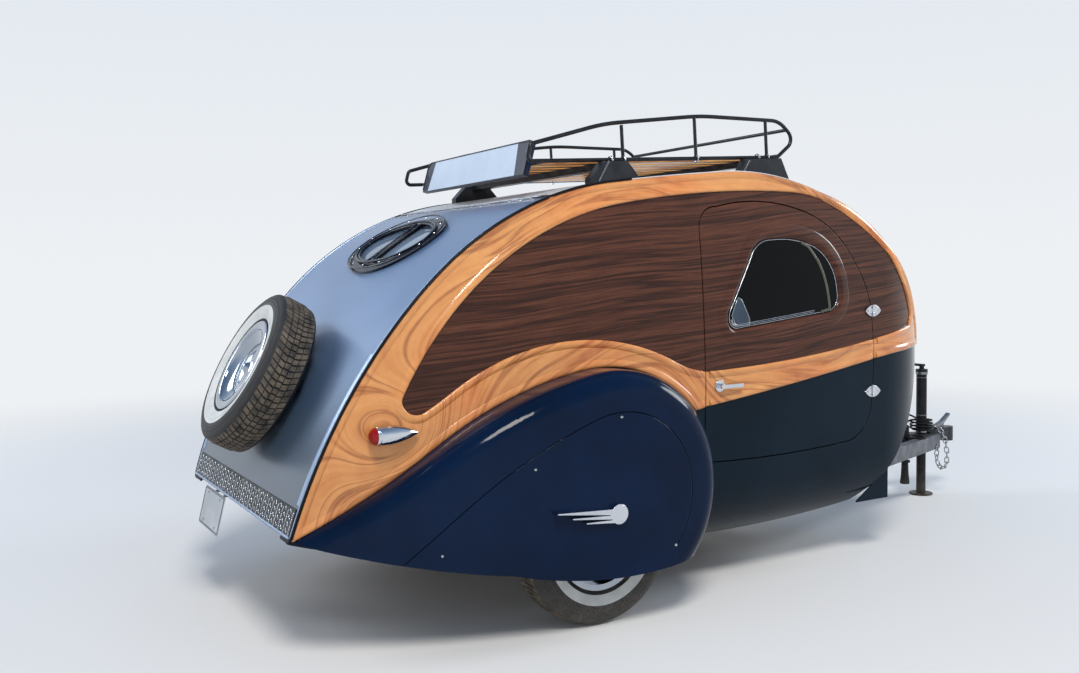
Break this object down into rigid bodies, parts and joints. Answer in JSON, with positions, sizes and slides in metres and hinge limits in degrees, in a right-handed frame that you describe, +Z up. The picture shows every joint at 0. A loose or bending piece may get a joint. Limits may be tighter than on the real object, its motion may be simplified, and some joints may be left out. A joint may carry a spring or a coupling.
{
  "type": "teardrop trailer",
  "caption": "Small two-wheeled teardrop camping trailer with a rear hatch and spare wheel, side doors, fenders with skirts, a roof rack and a tongue with a jack.",
  "frame": {"origin": "on the ground under the middle of the trailer's bounding box", "axes": "+X towards the coupler, the way it is towed; +Y to its left; +Z up"},
  "size_m": [4.1353, 1.928, 1.9054],
  "materials": {
    "walnut": "dark reddish-brown veneer under a high-gloss clear coat",
    "wood_trim": "golden-orange wood with dark flowing grain, high gloss",
    "navy_paint": "deep navy paint, satin gloss",
    "fender_paint": "deep navy paint, high gloss",
    "roof_paint": "pale satin paint",
    "hatch_skin": "satin silver-blue sheet",
    "tread_plate": "raised-bar tread plate",
    "floor_ply": "plywood",
    "underbody_black": "satin black",
    "frame_grey": "weathered light-grey paint",
    "tyre": "rubber with a white sidewall band",
    "rim_chrome": "polished",
    "chrome": "polished",
    "lamp_red": "clear red",
    "window_trim": "black moulded frame",
    "window_glass": "dark tinted",
    "porthole_trim": "dark chrome",
    "carrier_black": "satin black",
    "rack_graphite": "graphite powder coat",
    "slat_wood": "varnished slats",
    "board_paint": "pale blue-grey board, navy ends",
    "plate_paint": "blank white plate",
    "jack_steel": "zinc plated",
    "jack_black": "black",
    "hinge_steel": "satin piano hinge",
    "chain_zinc": "zinc plated",
    "cable_black": "black sheath",
    "plug_black": "black moulded plug"
  },
  "bodies": {
    "root": {"axle": "underbody_black", "cable_coil": "cable_black", "cable_fittings": "jack_steel", "cable_lead": "cable_black", "cable_plug": "plug_black", "chassis": "frame_grey", "coupler": "frame_grey", "coupler_latch": "jack_steel", "fender_skirts": "fender_paint", "fenders": "fender_paint", "floor": "floor_ply", "frame_skirts": "fender_paint", "hatch_hinge_fixed": "hinge_steel", "hinge_fixed_leaves": "chrome", "jack_crank": "jack_black", "jack_tube": "jack_steel", "lamp_lenses": "lamp_red", "lower_panels": "navy_paint", "nose_panel": "navy_paint", "number_plate": "plate_paint", "rack_bars": "rack_graphite", "rack_basket": "rack_graphite", "rack_slats": "slat_wood", "roof_skin": "roof_paint", "safety_chain": "chain_zinc", "sign_board": "board_paint", "skirt_ornaments": "chrome", "tail_lamps": "chrome", "tongue": "frame_grey", "walnut_panels": "walnut", "wheel_tubs": "underbody_black", "wood_frames": "wood_trim"},
    "right_door": {"right_door_fittings": "chrome", "right_door_lower_panel": "navy_paint", "right_door_walnut_panel": "walnut", "right_door_wood_frame": "wood_trim", "right_window_frame": "window_trim", "right_window_pane": "window_glass"},
    "left_door": {"left_door_fittings": "chrome", "left_door_lower_panel": "navy_paint", "left_door_walnut_panel": "walnut", "left_door_wood_frame": "wood_trim", "left_window_frame": "window_trim", "left_window_pane": "window_glass"},
    "hatch": {"hatch": "hatch_skin", "hatch_hinge_moving": "hinge_steel", "porthole_pane": "window_glass", "porthole_ring": "porthole_trim", "spare_cap": "chrome", "spare_carrier": "carrier_black", "spare_rim": "rim_chrome", "spare_tyre": "tyre", "tread_plate": "tread_plate"},
    "right_wheel": {"right_hub_cap": "chrome", "right_rim": "rim_chrome", "right_tyre": "tyre"},
    "left_wheel": {"left_hub_cap": "chrome", "left_rim": "rim_chrome", "left_tyre": "tyre"},
    "jack_leg": {"jack_leg": "jack_steel"}
  },
  "joints": [
    {"name": "right_door_hinge", "type": "hinge", "parent": "root", "child": "right_door", "pos_m": [0.58067, -0.768, 0.9], "axis": [0, 0, 1], "range_deg": [0, 80]},
    {"name": "left_door_hinge", "type": "hinge", "parent": "root", "child": "left_door", "pos_m": [0.58067, 0.768, 0.9], "axis": [0, 0, -1], "range_deg": [0, 80]},
    {"name": "hatch_hinge", "type": "hinge", "parent": "root", "child": "hatch", "pos_m": [-0.99933, 0, 1.5478], "axis": [0, 1, 0], "range_deg": [0, 60]},
    {"name": "right_wheel_spin", "type": "hinge", "parent": "root", "child": "right_wheel", "pos_m": [-0.87733, -0.76, 0.305], "axis": [0, 1, 0], "continuous": true},
    {"name": "left_wheel_spin", "type": "hinge", "parent": "root", "child": "left_wheel", "pos_m": [-0.87733, 0.76, 0.305], "axis": [0, 1, 0], "continuous": true},
    {"name": "jack_slide", "type": "slide", "parent": "root", "child": "jack_leg", "axis": [0, 0, 1], "range_m": [0, 0.2]}
  ]
}
